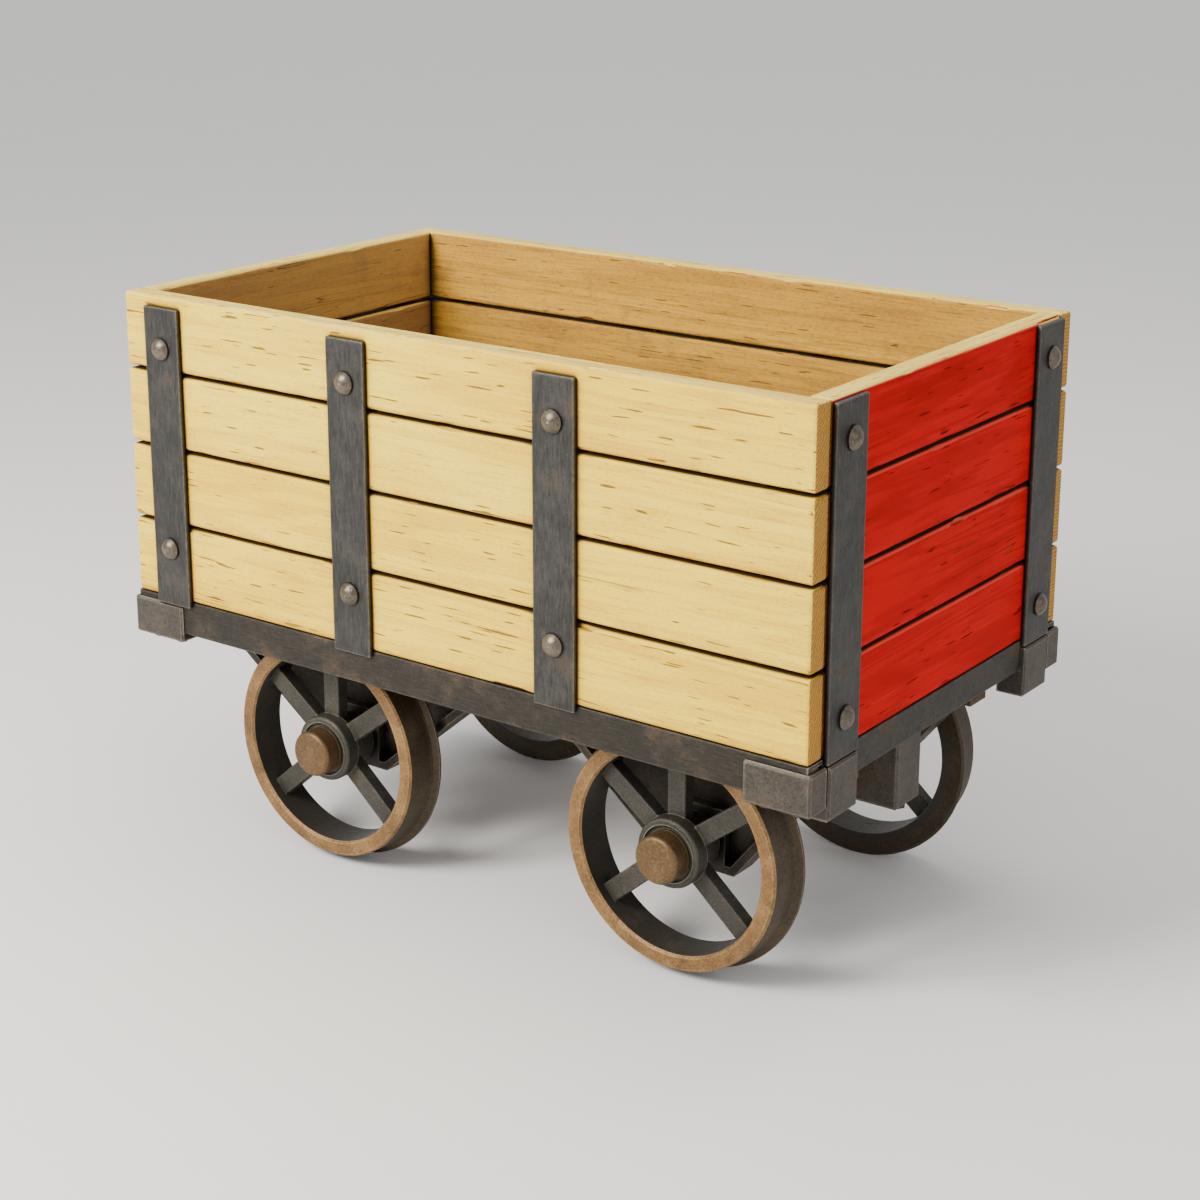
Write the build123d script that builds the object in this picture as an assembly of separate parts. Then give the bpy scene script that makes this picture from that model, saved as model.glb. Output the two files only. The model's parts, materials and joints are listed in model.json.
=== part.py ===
"""Mine cart: an open box of boards on an iron frame, with four flanged wheels that turn
loose on two fixed axles.

Millimetres. +X points to the front end, +Y to the far side and +Z up. The origin is on the
ground under the middle of the body. Every piece is first placed with z = 0 at the deck, which
is the plane where the boards stand on the frame, and is lifted by deck_height when it is saved.
Pieces that come in mirrored sets are drawn once, at the front end of the far side.
"""
import os
from build123d import *

# ---------------------------------------------------------------- track and wheels
rail_gauge = 610.0            # between the inner faces of the rail heads
gauge_play = 3.0              # each flange stands this far inside its rail
flange_thickness = 16.0
flange_height = 13.0          # from the tread at the flange root to the flange tip
tread_width = 60.0
tread_radius = 220.0          # at the front face of the wheel
tread_cone = 3.0              # the tread is this much larger in radius at the flange root
rim_thickness = 30.0
rim_edge = 4.0                # bevel of the rim's corners
spoke_angles = (90.0, 37.0, 143.0, -41.0, -139.0)   # from +X towards +Z, one for each spoke
spoke_width = 38.0
spoke_depth = 28.0
spoke_rounding = 3.0
hub_barrel_radius = 52.0
hub_ring_radius = 65.0
hub_ring_length = 30.0
hub_ring_rounding = 7.0
hub_proud = 2.0               # the hub ring stands this far out of the rim's front plane
hub_back_proud = 9.5          # the hub barrel stands this far out behind the flange
hub_groove_width = 8.0
hub_groove_depth = 5.0
wheel_headroom = 36.0         # between the top of the flange and the deck

# ---------------------------------------------------------------- bearings and axle ends
journal_radius = 20.0
running_clearance = 0.08      # radial, between journal and bush
bush_wall = 7.0
bush_recess = 12.5            # the hub is counterbored this deep in front of the bush
press_clearance = 0.03        # radial, between pieces that are pressed together
axial_gap = 0.5               # between a turning face and the washer beside it
thrust_washer_thickness = 10.0
thrust_washer_radius = 36.0
end_washer_thickness = 6.0
end_washer_radius = 31.0
axle_shoulder_step = 3.0      # the flats of the axle's square stand this far out of its journal
axle_chamfer = 2.0
axle_thread_radius = 15.0
axle_shoulder = 1.0           # the square of the axle stands this far out of its bracket
nut_flats = 46.0
nut_height = 20.0
split_pin_radius = 2.4
split_pin_length = 56.0
split_pin_offset = 3.0        # from the nut to the middle of the pin
axle_tip = 6.0                # from the middle of the pin to the end of the axle
cap_radius = 45.0
cap_protrusion = 38.0
cap_rounding = 9.0
cap_wall = 6.0
cap_spigot_radius = 38.0
cap_spigot_length = 9.0
cap_spigot_wall = 4.0

# ---------------------------------------------------------------- body of boards
body_length = 1540.0
board_thickness = 45.0
board_pitch = 150.0
board_gap = 6.0
board_count = 4
board_rounding = 7.0
wheel_side_clearance = 43.0   # between the wheel's front plane and the side rail
floor_thickness = 38.0
floor_plank_count = 11
floor_gap = 4.0

# ---------------------------------------------------------------- iron straps
side_strap_width = 90.0
end_strap_width = 100.0
strap_thickness = 10.0
strap_corner = 6.0
rear_strap_inset = 105.0      # from the rear end of the body to the middle of the rear strap
front_strap_inset = 505.0     # from the front end of the body to the middle of the front strap
side_strap_top_margin = 20.0
end_strap_top_margin = 5.0
strap_shoe_gap = 1.0          # between the foot of the rear side strap and the corner shoe
side_bolt_low = 105.0
side_bolt_top_margin = 100.0
end_bolt_low = 60.0
end_bolt_top_margin = 70.0
dome_radius = 21.0
dome_rim = 4.0
dome_height = 15.0
strap_bolt_radius = 7.0
strap_bolt_depth = 38.0       # the part of the shank that is in the wood

# ---------------------------------------------------------------- iron frame
side_rail_height = 70.0
end_rail_height = 60.0
rail_wall = 8.0
rail_rounding = 3.0
shoe_length = 121.0           # along the side rail
shoe_proud = 6.0              # out of the side rail's face
shoe_end_plate = 9.0
shoe_sole = 17.0
shoe_top_drop = 12.0
shoe_chamfer = 4.0
foot_width = 92.0
foot_proud = 12.0
foot_depth = 110.0            # below the deck
foot_gap = 5.0                # groove between the side block and the foot
foot_top_gap = 3.0            # between the end strap and the foot
shoe_link_length = 40.0

# ---------------------------------------------------------------- underframe
sill_width = 60.0
sill_depth = 110.0
bearer_depth = 76.0
middle_bearer_width = 60.0
half_lap = 38.0
tongue_clearance = 0.3
tongue_end_gap = 1.0
block_width = 86.0
block_length = 130.0
block_inset = 57.0            # from the end of the body to the face of the coupling block
block_drop = 235.0            # from the deck to the underside of the coupling block
block_chamfer = 5.0
coupling_bore_radius = 16.0
coupling_bore_depth = 120.0
block_bolt_spacing = 90.0

# ---------------------------------------------------------------- axle brackets
rear_axle_inset = 400.0       # from the rear end of the body to the rear axle
front_axle_inset = 330.0      # from the front end of the body to the front axle
bracket_centre_gap = 170.0    # between the front and the rear bracket
rear_bracket_margin = 5.0     # from the rear end of the sill to the rear bracket
front_bracket_margin = 45.0   # from the front end of the sill to the front bracket
bracket_foot_length = 150.0
bracket_foot_drop = 60.0      # below the middle of the axle
bracket_edge = 16.0
bracket_web = 12.0
bracket_tip = 16.0
boss_length = 110.0
boss_height = 60.0            # above the middle of the axle
axle_hole_clearance = 0.2

# ---------------------------------------------------------------- fasteners
wood_clearance = 0.2          # radial, around dowels, nails and screws
dowel_radius = 8.0
dowel_length = 60.0
side_dowel_offset = 60.0      # from the middle of a strap to the dowel beside it
front_dowel_inset = 105.0
end_dowel_spacing = 300.0
corner_dowel_radius = 6.0
corner_dowel_length = 60.0
corner_dowel_spacing = 50.0
screw_radius = 6.0
screw_flats = 19.0
screw_head = 9.0
screw_depth = 60.0
bracket_screw_depth = 40.0
block_bolt_radius = 8.0
block_bolt_flats = 24.0
nut_thickness = 10.0
nail_radius = 3.0
nail_head_radius = 7.0
nail_head = 3.0
nail_depth = 40.0

# ---------------------------------------------------------------- worked-out sizes
flange_root = rail_gauge / 2 - gauge_play
wheel_back = flange_root - flange_thickness
wheel_front = flange_root + tread_width
flange_radius = tread_radius + tread_cone + flange_height
rim_inner_radius = tread_radius - rim_thickness
hub_back = wheel_back - hub_back_proud
hub_front = wheel_front + hub_proud
bush_radius = journal_radius + running_clearance + bush_wall
bush_front = hub_front - bush_recess
end_washer_back = bush_front + axial_gap
nut_back = end_washer_back + end_washer_thickness
split_pin_position = nut_back + nut_height + split_pin_offset
axle_end = split_pin_position + axle_tip
axle_square = 2 * (journal_radius + axle_shoulder_step)

axle_drop = flange_radius + wheel_headroom
deck_height = flange_radius + axle_drop
wall_height = board_count * board_pitch
half_length = body_length / 2
inner_half_length = half_length - board_thickness
inner_half_width = wheel_front + wheel_side_clearance
half_width = inner_half_width + board_thickness
rear_axle = -half_length + rear_axle_inset
front_axle = half_length - front_axle_inset

axle_shoulder_face = hub_back - axial_gap - thrust_washer_thickness
bracket_outer = axle_shoulder_face - axle_shoulder
sill_outer = bracket_outer
sill_inner = sill_outer - sill_width
sill_middle = (sill_outer + sill_inner) / 2

board_middle = half_width - board_thickness / 2
end_board_middle = half_length - board_thickness / 2
rear_strap = -half_length + rear_strap_inset
front_strap = half_length - front_strap_inset
strap_overlap = shoe_top_drop - strap_shoe_gap
side_strap_stations = [rear_strap, (rear_strap + front_strap) / 2, front_strap]
end_strap_middle = inner_half_width - end_strap_width / 2
block_front = half_length - block_inset
block_middle = block_front - block_length / 2
middle_bearer_station = (rear_axle + front_axle) / 2
bracket_inner_reach = (front_axle - rear_axle - bracket_centre_gap) / 2
rear_bracket_reach = rear_axle + inner_half_length - rear_bracket_margin
front_bracket_reach = inner_half_length - front_bracket_margin - front_axle

DOWN, UP = (0, 0, -1), (0, 0, 1)
OUT, IN = (0, 1, 0), (0, -1, 0)


# ---------------------------------------------------------------- plain shapes
def block(x, y, z):
    """Cuboid between the (low, high) pairs x, y and z."""
    size = [high - low for low, high in (x, y, z)]
    middle = [(high + low) / 2 for low, high in (x, y, z)]
    return Pos(*middle) * Box(*size)


def rod(start, direction, radius, length):
    """Round bar that starts at a point and runs along a direction."""
    bar = Cylinder(radius, length, align=(Align.CENTER, Align.CENTER, Align.MIN))
    return Plane(origin=start, z_dir=direction) * bar


def hexagon_prism(flats, height):
    """Hexagonal bar that stands on z = 0."""
    return extrude(RegularPolygon(flats / 2, 6, major_radius=False), height)


def hex_screw(start, direction, flats, radius, length):
    """Screw whose head bears at a point; the shank runs along the direction."""
    shank = Cylinder(radius, length, align=(Align.CENTER, Align.CENTER, Align.MIN))
    head = Pos(0, 0, -screw_head) * hexagon_prism(flats, screw_head)
    return Plane(origin=start, z_dir=direction) * (head + shank)


def dome_screw(start, direction):
    """Round-headed strap screw; the head bears at a point, the shank runs along the direction."""
    depth = strap_thickness + strap_bolt_depth
    outline = Polyline((0, dome_height), (0, -depth), (strap_bolt_radius, -depth),
                       (strap_bolt_radius, 0), (dome_radius, 0), (dome_radius, dome_rim))
    crown = RadiusArc((dome_radius, dome_rim), (0, dome_height),
                      -(dome_radius**2 + (dome_height - dome_rim)**2) / (2 * (dome_height - dome_rim)))
    profile = Plane.XZ * make_face(outline + crown)
    away = tuple(-value for value in direction)
    return Plane(origin=start, z_dir=away) * revolve(profile, Axis.Z)


def turned(points):
    """Solid of revolution about Y from a closed outline of (radius, y) points."""
    return revolve(make_face(Polyline(*points, close=True)), Axis.Y)


def rear(piece):
    """The same piece at the other end of the cart."""
    return mirror(piece, about=Plane.YZ)


def near(piece):
    """The same piece on the other side of the cart."""
    return mirror(piece, about=Plane.XZ)


def both_sides(pieces):
    return pieces + [near(piece) for piece in pieces]


def both_ends(pieces):
    return pieces + [rear(piece) for piece in pieces]


def four_corners(pieces):
    return both_sides(both_ends(pieces))


# ---------------------------------------------------------------- dowels, nails and screws
def board_levels(index):
    """Lowest and highest z of one board, counted from the frame up."""
    low = index * board_pitch
    if index > 0:
        low += board_gap
    return low, (index + 1) * board_pitch


def side_dowels(clearance=0.0):
    """Upright dowels that join the edges of the far side's boards."""
    stations = [x + side_dowel_offset for x in side_strap_stations]
    stations.append(half_length - front_dowel_inset)
    foot = dowel_length / 2 + clearance
    return [rod((x, board_middle, joint * board_pitch - foot), UP,
                dowel_radius + clearance, dowel_length + 2 * clearance)
            for x in stations for joint in range(1, board_count)]


def end_dowels(clearance=0.0):
    """Upright dowels that join the edges of the front end's boards."""
    foot = dowel_length / 2 + clearance
    return [rod((end_board_middle, y, joint * board_pitch - foot), UP,
                dowel_radius + clearance, dowel_length + 2 * clearance)
            for y in (-end_dowel_spacing / 2, end_dowel_spacing / 2)
            for joint in range(1, board_count)]


def corner_dowels(clearance=0.0):
    """Level dowels that join the front boards to the far side's boards."""
    start = inner_half_width - corner_dowel_length / 2 - clearance
    levels = [(index + 0.5) * board_pitch + shift * corner_dowel_spacing / 2
              for index in range(board_count) for shift in (-1, 1)]
    return [rod((end_board_middle, start, z), OUT,
                corner_dowel_radius + clearance, corner_dowel_length + 2 * clearance)
            for z in levels]


def side_bolt_points():
    """Where the heads of the far side's strap screws bear."""
    levels = (side_bolt_low, wall_height - side_bolt_top_margin)
    return [(x, half_width + strap_thickness, z) for x in side_strap_stations for z in levels]


def end_bolt_points():
    """Where the heads of the front end's strap screws bear."""
    levels = (end_bolt_low, wall_height - end_bolt_top_margin)
    return [(half_length + strap_thickness, y, z)
            for y in (-end_strap_middle, end_strap_middle) for z in levels]


def strap_screw_holes(points, direction):
    """Clear holes for strap screws, through the strap and into the wood."""
    depth = strap_thickness + strap_bolt_depth + wood_clearance
    return [rod(point, direction, strap_bolt_radius + wood_clearance, depth) for point in points]


def side_rail_screw_points():
    """Underside of the far side rail's top flange, where the wall's screws bear."""
    return [(share * half_length, board_middle, -rail_wall) for share in (-0.75, -0.25, 0.25, 0.75)]


def end_rail_screw_points():
    """Where the front wall's screws bear: one in the rail, two under the ends of the sills."""
    return [(end_board_middle, 0, -rail_wall),
            (end_board_middle, sill_middle, -end_rail_height),
            (end_board_middle, -sill_middle, -end_rail_height)]


def wall_screws(points):
    """Screws that run up through the frame into the lowest board."""
    return [hex_screw(point, UP, screw_flats, screw_radius, screw_depth - point[2]) for point in points]


def wall_screw_holes(points):
    return [rod((x, y, z - wood_clearance), UP, screw_radius + wood_clearance,
                screw_depth - z + 2 * wood_clearance) for x, y, z in points]


def bearer_screw_points():
    """Outer face of the far sill, where the screws of the end cross-bearers bear."""
    offset = block_length / 4
    level = -(bearer_depth + nail_depth) / 2
    return [(end * (block_middle + shift * offset), sill_outer, level)
            for end in (-1, 1) for shift in (-1, 1)]


def bearer_screws():
    depth = sill_width + screw_depth
    return [hex_screw(point, IN, screw_flats, screw_radius, depth) for point in bearer_screw_points()]


def bearer_screw_holes():
    depth = sill_width + screw_depth + wood_clearance
    return [rod(point, IN, screw_radius + wood_clearance, depth) for point in bearer_screw_points()]


def block_bolt_points():
    """Underside of the front coupling block, where its two long screws bear."""
    return [(block_middle + shift * block_bolt_spacing / 2, 0, -block_drop) for shift in (-1, 1)]


def block_bolt_length():
    return block_drop - bearer_depth + screw_depth


def block_bolts():
    return [hex_screw(point, UP, block_bolt_flats, block_bolt_radius, block_bolt_length())
            for point in block_bolt_points()]


def block_bolt_holes():
    return [rod(point, UP, block_bolt_radius + wood_clearance, block_bolt_length() + wood_clearance)
            for point in block_bolt_points()]


def plank_pitch():
    return (2 * inner_half_length - floor_gap) / floor_plank_count


def plank_starts():
    """Rear edge of each floor plank."""
    return [-inner_half_length + floor_gap + index * plank_pitch() for index in range(floor_plank_count)]


def nail_points():
    """Top of each floor nail over the far sill: two in every plank."""
    width = plank_pitch() - floor_gap
    return [(start + share * width, sill_middle, floor_thickness)
            for start in plank_starts() for share in (0.25, 0.75)]


def nails(clearance=0.0):
    """Flat-headed nails, flush with the floor, over the far sill."""
    shank = floor_thickness + nail_depth + clearance
    return [rod(point, DOWN, nail_head_radius + clearance, nail_head + clearance)
            + rod(point, DOWN, nail_radius + clearance, shank) for point in nail_points()]


# ---------------------------------------------------------------- walls and floor
def side_boards():
    """The far side's boards, which run the full length of the body."""
    holes = (side_dowels(wood_clearance) + both_ends(corner_dowels(wood_clearance))
             + strap_screw_holes(side_bolt_points(), IN) + wall_screw_holes(side_rail_screw_points()))
    boards = []
    for index in range(board_count):
        board = block((-half_length, half_length), (inner_half_width, half_width), board_levels(index))
        board = fillet(board.edges().filter_by(Axis.X), board_rounding)
        boards.append(board - holes)
    return boards


def end_boards():
    """The front end's boards, which stand between the side boards."""
    corners = corner_dowels(wood_clearance)
    holes = (end_dowels(wood_clearance) + both_sides(corners)
             + strap_screw_holes(end_bolt_points(), (-1, 0, 0)) + wall_screw_holes(end_rail_screw_points()))
    boards = []
    for index in range(board_count):
        board = block((inner_half_length, half_length), (-inner_half_width, inner_half_width),
                      board_levels(index))
        board = fillet(board.edges().filter_by(Axis.Y), board_rounding)
        boards.append(board - holes)
    return boards


def floor_planks():
    """Planks laid across the sills, inside the walls."""
    holes = both_sides(nails(wood_clearance))
    width = plank_pitch() - floor_gap
    half_span = inner_half_width - floor_gap / 4
    planks = []
    for start in plank_starts():
        plank = block((start, start + width), (-half_span, half_span), (0, floor_thickness))
        near_holes = [hole for hole in holes if start < hole.center().X < start + width]
        planks.append(plank - near_holes)
    return planks


# ---------------------------------------------------------------- straps
def side_strap(station):
    """Upright flat iron strap on the far side."""
    strap = block((station - side_strap_width / 2, station + side_strap_width / 2),
                  (half_width, half_width + strap_thickness),
                  (-strap_overlap, wall_height - side_strap_top_margin))
    strap = chamfer(strap.edges().filter_by(Axis.Y), strap_corner)
    return strap - strap_screw_holes(side_bolt_points(), IN)


def end_strap():
    """Upright flat iron strap at the far corner of the front end."""
    strap = block((half_length, half_length + strap_thickness),
                  (inner_half_width - end_strap_width, inner_half_width),
                  (-strap_overlap, wall_height - end_strap_top_margin))
    strap = chamfer(strap.edges().filter_by(Axis.X), strap_corner)
    return strap - strap_screw_holes(end_bolt_points(), (-1, 0, 0))


# ---------------------------------------------------------------- iron frame
def side_rail():
    """Far side rail: a channel with its web outside, under the side boards."""
    bar = block((-half_length, half_length), (inner_half_width, half_width), (-side_rail_height, 0))
    outer_edges = bar.edges().filter_by(Axis.X).group_by(Axis.Y)[-1]
    bar = fillet(outer_edges, rail_rounding)
    hollow = block((-half_length, half_length), (inner_half_width, half_width - rail_wall),
                   (rail_wall - side_rail_height, -rail_wall))
    shoe_holes = both_ends([rod(point, UP, screw_radius + wood_clearance, side_rail_height / 2)
                            for point in shoe_bolt_points()])
    return bar - hollow - wall_screw_holes(side_rail_screw_points()) - shoe_holes


def end_rail():
    """Front end rail: a shallower channel between the side rails, under the end boards."""
    span = (-inner_half_width, inner_half_width)
    bar = block((inner_half_length, half_length), span, (-end_rail_height, 0))
    outer_edges = bar.edges().filter_by(Axis.Y).group_by(Axis.X)[-1]
    bar = fillet(outer_edges, rail_rounding)
    hollow = block((inner_half_length, half_length - rail_wall), span,
                   (rail_wall - end_rail_height, -rail_wall))
    foot_holes = both_sides([rod(foot_bolt_point(), UP, screw_radius + wood_clearance,
                                 foot_depth - end_rail_height / 2)])
    return bar - hollow - wall_screw_holes(end_rail_screw_points()) - foot_holes


def shoe_bolt_points():
    """Underside of the far front shoe, where its two side-rail bolts bear."""
    start = half_length - shoe_length
    depth = side_rail_height + shoe_sole
    return [(start + share * shoe_length, board_middle, -depth) for share in (0.25, 0.75)]


def foot_bolt_point():
    """Underside of the foot, where its end-rail bolt bears."""
    return (end_board_middle, inner_half_width - foot_gap - foot_width / 2, -foot_depth)


def corner_shoe():
    """Far front shoe: a block round the end of the side rail, joined to a foot under the end strap."""
    side_block = block((half_length - shoe_length, half_length + shoe_end_plate),
                       (inner_half_width, half_width + shoe_proud),
                       (-side_rail_height - shoe_sole, -shoe_top_drop))
    outer_edges = side_block.edges().group_by(Axis.Y)[-1] + side_block.edges().filter_by(Axis.Y)
    side_block = chamfer(outer_edges, shoe_chamfer)
    foot_outer = inner_half_width - foot_gap
    foot_top = -strap_overlap - foot_top_gap
    foot = block((inner_half_length, half_length + foot_proud),
                 (foot_outer - foot_width, foot_outer), (-foot_depth, foot_top))
    foot = chamfer(foot.edges().group_by(Axis.X)[-1], shoe_chamfer)
    link = block((inner_half_length, inner_half_length + shoe_link_length),
                 (foot_outer - shoe_chamfer, inner_half_width + shoe_chamfer),
                 (-side_rail_height - shoe_sole + shoe_chamfer, -side_rail_height))
    side_rail_space = block((0, half_length), (0, half_width), (-side_rail_height, 0))
    end_rail_space = block((0, half_length), (0, inner_half_width), (-end_rail_height, 0))
    bolts = [rod(point, UP, screw_radius + wood_clearance, foot_depth) for point in shoe_bolt_points()]
    bolts.append(rod(foot_bolt_point(), UP, screw_radius + wood_clearance, foot_depth))
    return (side_block - side_rail_space) + link + (foot - end_rail_space) - bolts


def shoe_bolts():
    """Bolts and nuts of the far front shoe; the nuts lie inside the channels."""
    bolts = []
    for x, y, z in shoe_bolt_points():
        bolts += bolt_and_nut((x, y, z), rail_wall - side_rail_height)
    bolts += bolt_and_nut(foot_bolt_point(), rail_wall - end_rail_height)
    return bolts


def bolt_and_nut(start, nut_level):
    """Bolt from below, with its nut seated at nut_level."""
    x, y, z = start
    bolt = hex_screw(start, UP, screw_flats, screw_radius, nut_level + nut_thickness + screw_head / 3 - z)
    nut = hexagon_prism(screw_flats, nut_thickness)
    nut -= Cylinder(screw_radius + wood_clearance, 3 * nut_thickness)
    return [bolt, Pos(x, y, nut_level) * nut]


# ---------------------------------------------------------------- underframe
def sill():
    """Far sill: a timber beam whose tongues fit in the end rails."""
    beam = block((-inner_half_length, inner_half_length), (sill_inner, sill_outer), (-sill_depth, 0))
    reach = half_length - rail_wall - tongue_end_gap
    tongue = block((-reach, reach), (sill_inner, sill_outer),
                   (rail_wall - end_rail_height + tongue_clearance, -rail_wall - tongue_clearance))
    bearer_space = block((middle_bearer_station - middle_bearer_width / 2,
                          middle_bearer_station + middle_bearer_width / 2),
                         (sill_inner, sill_outer), (-half_lap, 0))
    end_screws = wall_screw_holes(end_rail_screw_points())
    holes = both_ends(end_screws) + nails(wood_clearance) + bearer_screw_holes()
    holes += bracket_screw_holes(rear_axle) + bracket_screw_holes(front_axle)
    return beam + tongue - bearer_space - holes


def end_bearer():
    """Front cross-bearer: a timber between the sills that carries the coupling block."""
    bearer = block((block_middle - block_length / 2, block_middle + block_length / 2),
                   (-sill_inner, sill_inner), (-bearer_depth, 0))
    return bearer - both_sides(bearer_screw_holes()) - block_bolt_holes()


def middle_bearer():
    """Middle cross-bearer: half-lapped over the sills, with tongues in the side rails."""
    x = (middle_bearer_station - middle_bearer_width / 2, middle_bearer_station + middle_bearer_width / 2)
    beam = block(x, (-inner_half_width, inner_half_width), (-bearer_depth, 0))
    reach = half_width - rail_wall - tongue_end_gap
    tongue = block(x, (-reach, reach),
                   (rail_wall - side_rail_height + tongue_clearance, -rail_wall - tongue_clearance))
    sill_space = block(x, (sill_inner, sill_outer), (-bearer_depth, -half_lap))
    return beam + tongue - both_sides([sill_space]) - both_sides(nails(wood_clearance))


def coupling_block():
    """Front coupling block, bored from below for a coupling pin."""
    body = block((block_middle - block_length / 2, block_front), (-block_width / 2, block_width / 2),
                 (-block_drop, -bearer_depth))
    upright = body.edges().filter_by(Axis.Z)
    lowest = body.edges().group_by(Axis.Z)[0]
    body = chamfer(upright + lowest, block_chamfer)
    bore = rod((block_middle, 0, -block_drop), UP, coupling_bore_radius, coupling_bore_depth)
    return body - bore - block_bolt_holes()


# ---------------------------------------------------------------- axles and brackets
def bracket_reaches(axle):
    """How far a bracket's top reaches behind and in front of its axle."""
    if axle < middle_bearer_station:
        return rear_bracket_reach, bracket_inner_reach
    return bracket_inner_reach, front_bracket_reach


def bracket_screw_points(axle):
    """Underside of the far bracket's top flange, where its four screws bear."""
    behind, ahead = bracket_reaches(axle)
    low = axle - behind + bracket_foot_length / 2
    high = axle + ahead - bracket_foot_length / 2
    side = (sill_width + bracket_web) / 4
    level = -sill_depth - bracket_edge
    return [(x, sill_middle + sign * side, level) for x in (low, high) for sign in (-1, 1)]


def bracket_screws(axle):
    length = bracket_edge + bracket_screw_depth
    return [hex_screw(point, UP, screw_flats, screw_radius, length)
            for point in bracket_screw_points(axle)]


def bracket_screw_holes(axle):
    length = bracket_edge + bracket_screw_depth + wood_clearance
    return [rod(point, UP, screw_radius + wood_clearance, length)
            for point in bracket_screw_points(axle)]


def axle_bracket(axle):
    """Far bracket: a webbed casting that hangs the axle under the sill."""
    behind, ahead = bracket_reaches(axle)
    top, bottom = -sill_depth, -axle_drop - bracket_foot_drop
    tip = top - bracket_tip
    foot = bracket_foot_length / 2
    outline = Plane.XZ * make_face(Polyline(
        (axle - behind, top), (axle + ahead, top), (axle + ahead, tip), (axle + foot, bottom),
        (axle - foot, bottom), (axle - behind, tip), close=True))
    casting = Pos(0, sill_outer, 0) * extrude(outline, sill_width)
    pocket_depth = (sill_width - bracket_web) / 2
    recess = Pos(0, sill_outer, 0) * extrude(offset(outline, -bracket_edge), pocket_depth)
    casting -= [recess, Pos(0, pocket_depth - sill_width, 0) * recess]
    casting += block((axle - boss_length / 2, axle + boss_length / 2), (sill_inner, sill_outer),
                     (bottom, boss_height - axle_drop))
    half_square = axle_square / 2 + axle_hole_clearance
    square_hole = block((axle - half_square, axle + half_square), (sill_inner, sill_outer),
                        (-axle_drop - half_square, -axle_drop + half_square))
    set_screw_hole = rod((axle, sill_middle, bottom), UP, block_bolt_radius + wood_clearance,
                         bracket_foot_drop)
    return casting - square_hole - set_screw_hole - bracket_screw_holes(axle)


def set_screw(axle):
    """Screw in the foot of the far bracket that holds the axle."""
    start = (axle, sill_middle, -axle_drop - bracket_foot_drop)
    length = bracket_foot_drop - axle_square / 2
    return hex_screw(start, UP, block_bolt_flats, block_bolt_radius, length)


def axle_bar(axle):
    """Square axle with a round journal, a threaded end and a pin hole at each side."""
    bar = block((axle - axle_square / 2, axle + axle_square / 2), (-axle_shoulder_face, axle_shoulder_face),
                (-axle_drop - axle_square / 2, -axle_drop + axle_square / 2))
    bar = chamfer(bar.edges().filter_by(Axis.Y), axle_chamfer)
    centre = (axle, 0, -axle_drop)
    journals = [rod(centre, OUT, journal_radius, end_washer_back),
                rod(centre, OUT, axle_thread_radius, axle_end)]
    pin_hole = rod((axle, split_pin_position, -axle_drop - journal_radius), UP,
                   split_pin_radius + wood_clearance, 2 * journal_radius)
    return bar + both_sides(journals) - both_sides([pin_hole])


def axle_washers(axle):
    """Thrust washer behind the far wheel and end washer in front of its bush."""
    thrust = rod((axle, axle_shoulder_face, -axle_drop), OUT, thrust_washer_radius, thrust_washer_thickness)
    end = rod((axle, end_washer_back, -axle_drop), OUT, end_washer_radius, end_washer_thickness)
    thread = rod((axle, 0, -axle_drop), OUT, axle_thread_radius + press_clearance, axle_end)
    journal = rod((axle, 0, -axle_drop), OUT, journal_radius + press_clearance, hub_back)
    return [thrust - journal, end - thread]


def axle_nut(axle):
    """Nut that holds the far wheel on its journal."""
    nut = Plane(origin=(axle, nut_back, -axle_drop), z_dir=OUT) * hexagon_prism(nut_flats, nut_height)
    return nut - rod((axle, 0, -axle_drop), OUT, axle_thread_radius + press_clearance, axle_end)


def split_pin(axle):
    """Pin through the end of the axle, in front of the nut."""
    start = (axle, split_pin_position, -axle_drop - split_pin_length / 2)
    return rod(start, UP, split_pin_radius, split_pin_length)


# ---------------------------------------------------------------- wheels
def wheel_rim():
    """Rim with a coned tread and a flange, about the Y axis."""
    points = [(rim_inner_radius, wheel_back), (flange_radius - rim_edge, wheel_back),
              (flange_radius, wheel_back + rim_edge), (flange_radius, wheel_back + 2 * rim_edge),
              (tread_radius + tread_cone + rim_edge / 2, flange_root - rim_edge / 2),
              (tread_radius + tread_cone, flange_root + rim_edge), (tread_radius, wheel_front - rim_edge),
              (tread_radius - rim_edge, wheel_front), (rim_inner_radius + rim_edge, wheel_front),
              (rim_inner_radius, wheel_front - rim_edge)]
    return turned(points)


def wheel_hub():
    """Hub barrel and ring, bored for the bush and counterbored for the axle nut."""
    ring_back = hub_front - hub_ring_length
    hub = turned([(0, hub_back), (hub_barrel_radius, hub_back), (hub_barrel_radius, ring_back),
                  (hub_ring_radius, ring_back), (hub_ring_radius, hub_front), (0, hub_front)])
    front_edge = hub.edges().filter_by(GeomType.CIRCLE).group_by(Axis.Y)[-1]
    hub = fillet(front_edge, hub_ring_rounding)
    groove_outer = cap_radius + hub_groove_width
    groove = turned([(cap_radius, hub_front - hub_groove_depth), (groove_outer, hub_front - hub_groove_depth),
                     (groove_outer, hub_front), (cap_radius, hub_front)])
    return hub - groove


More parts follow.
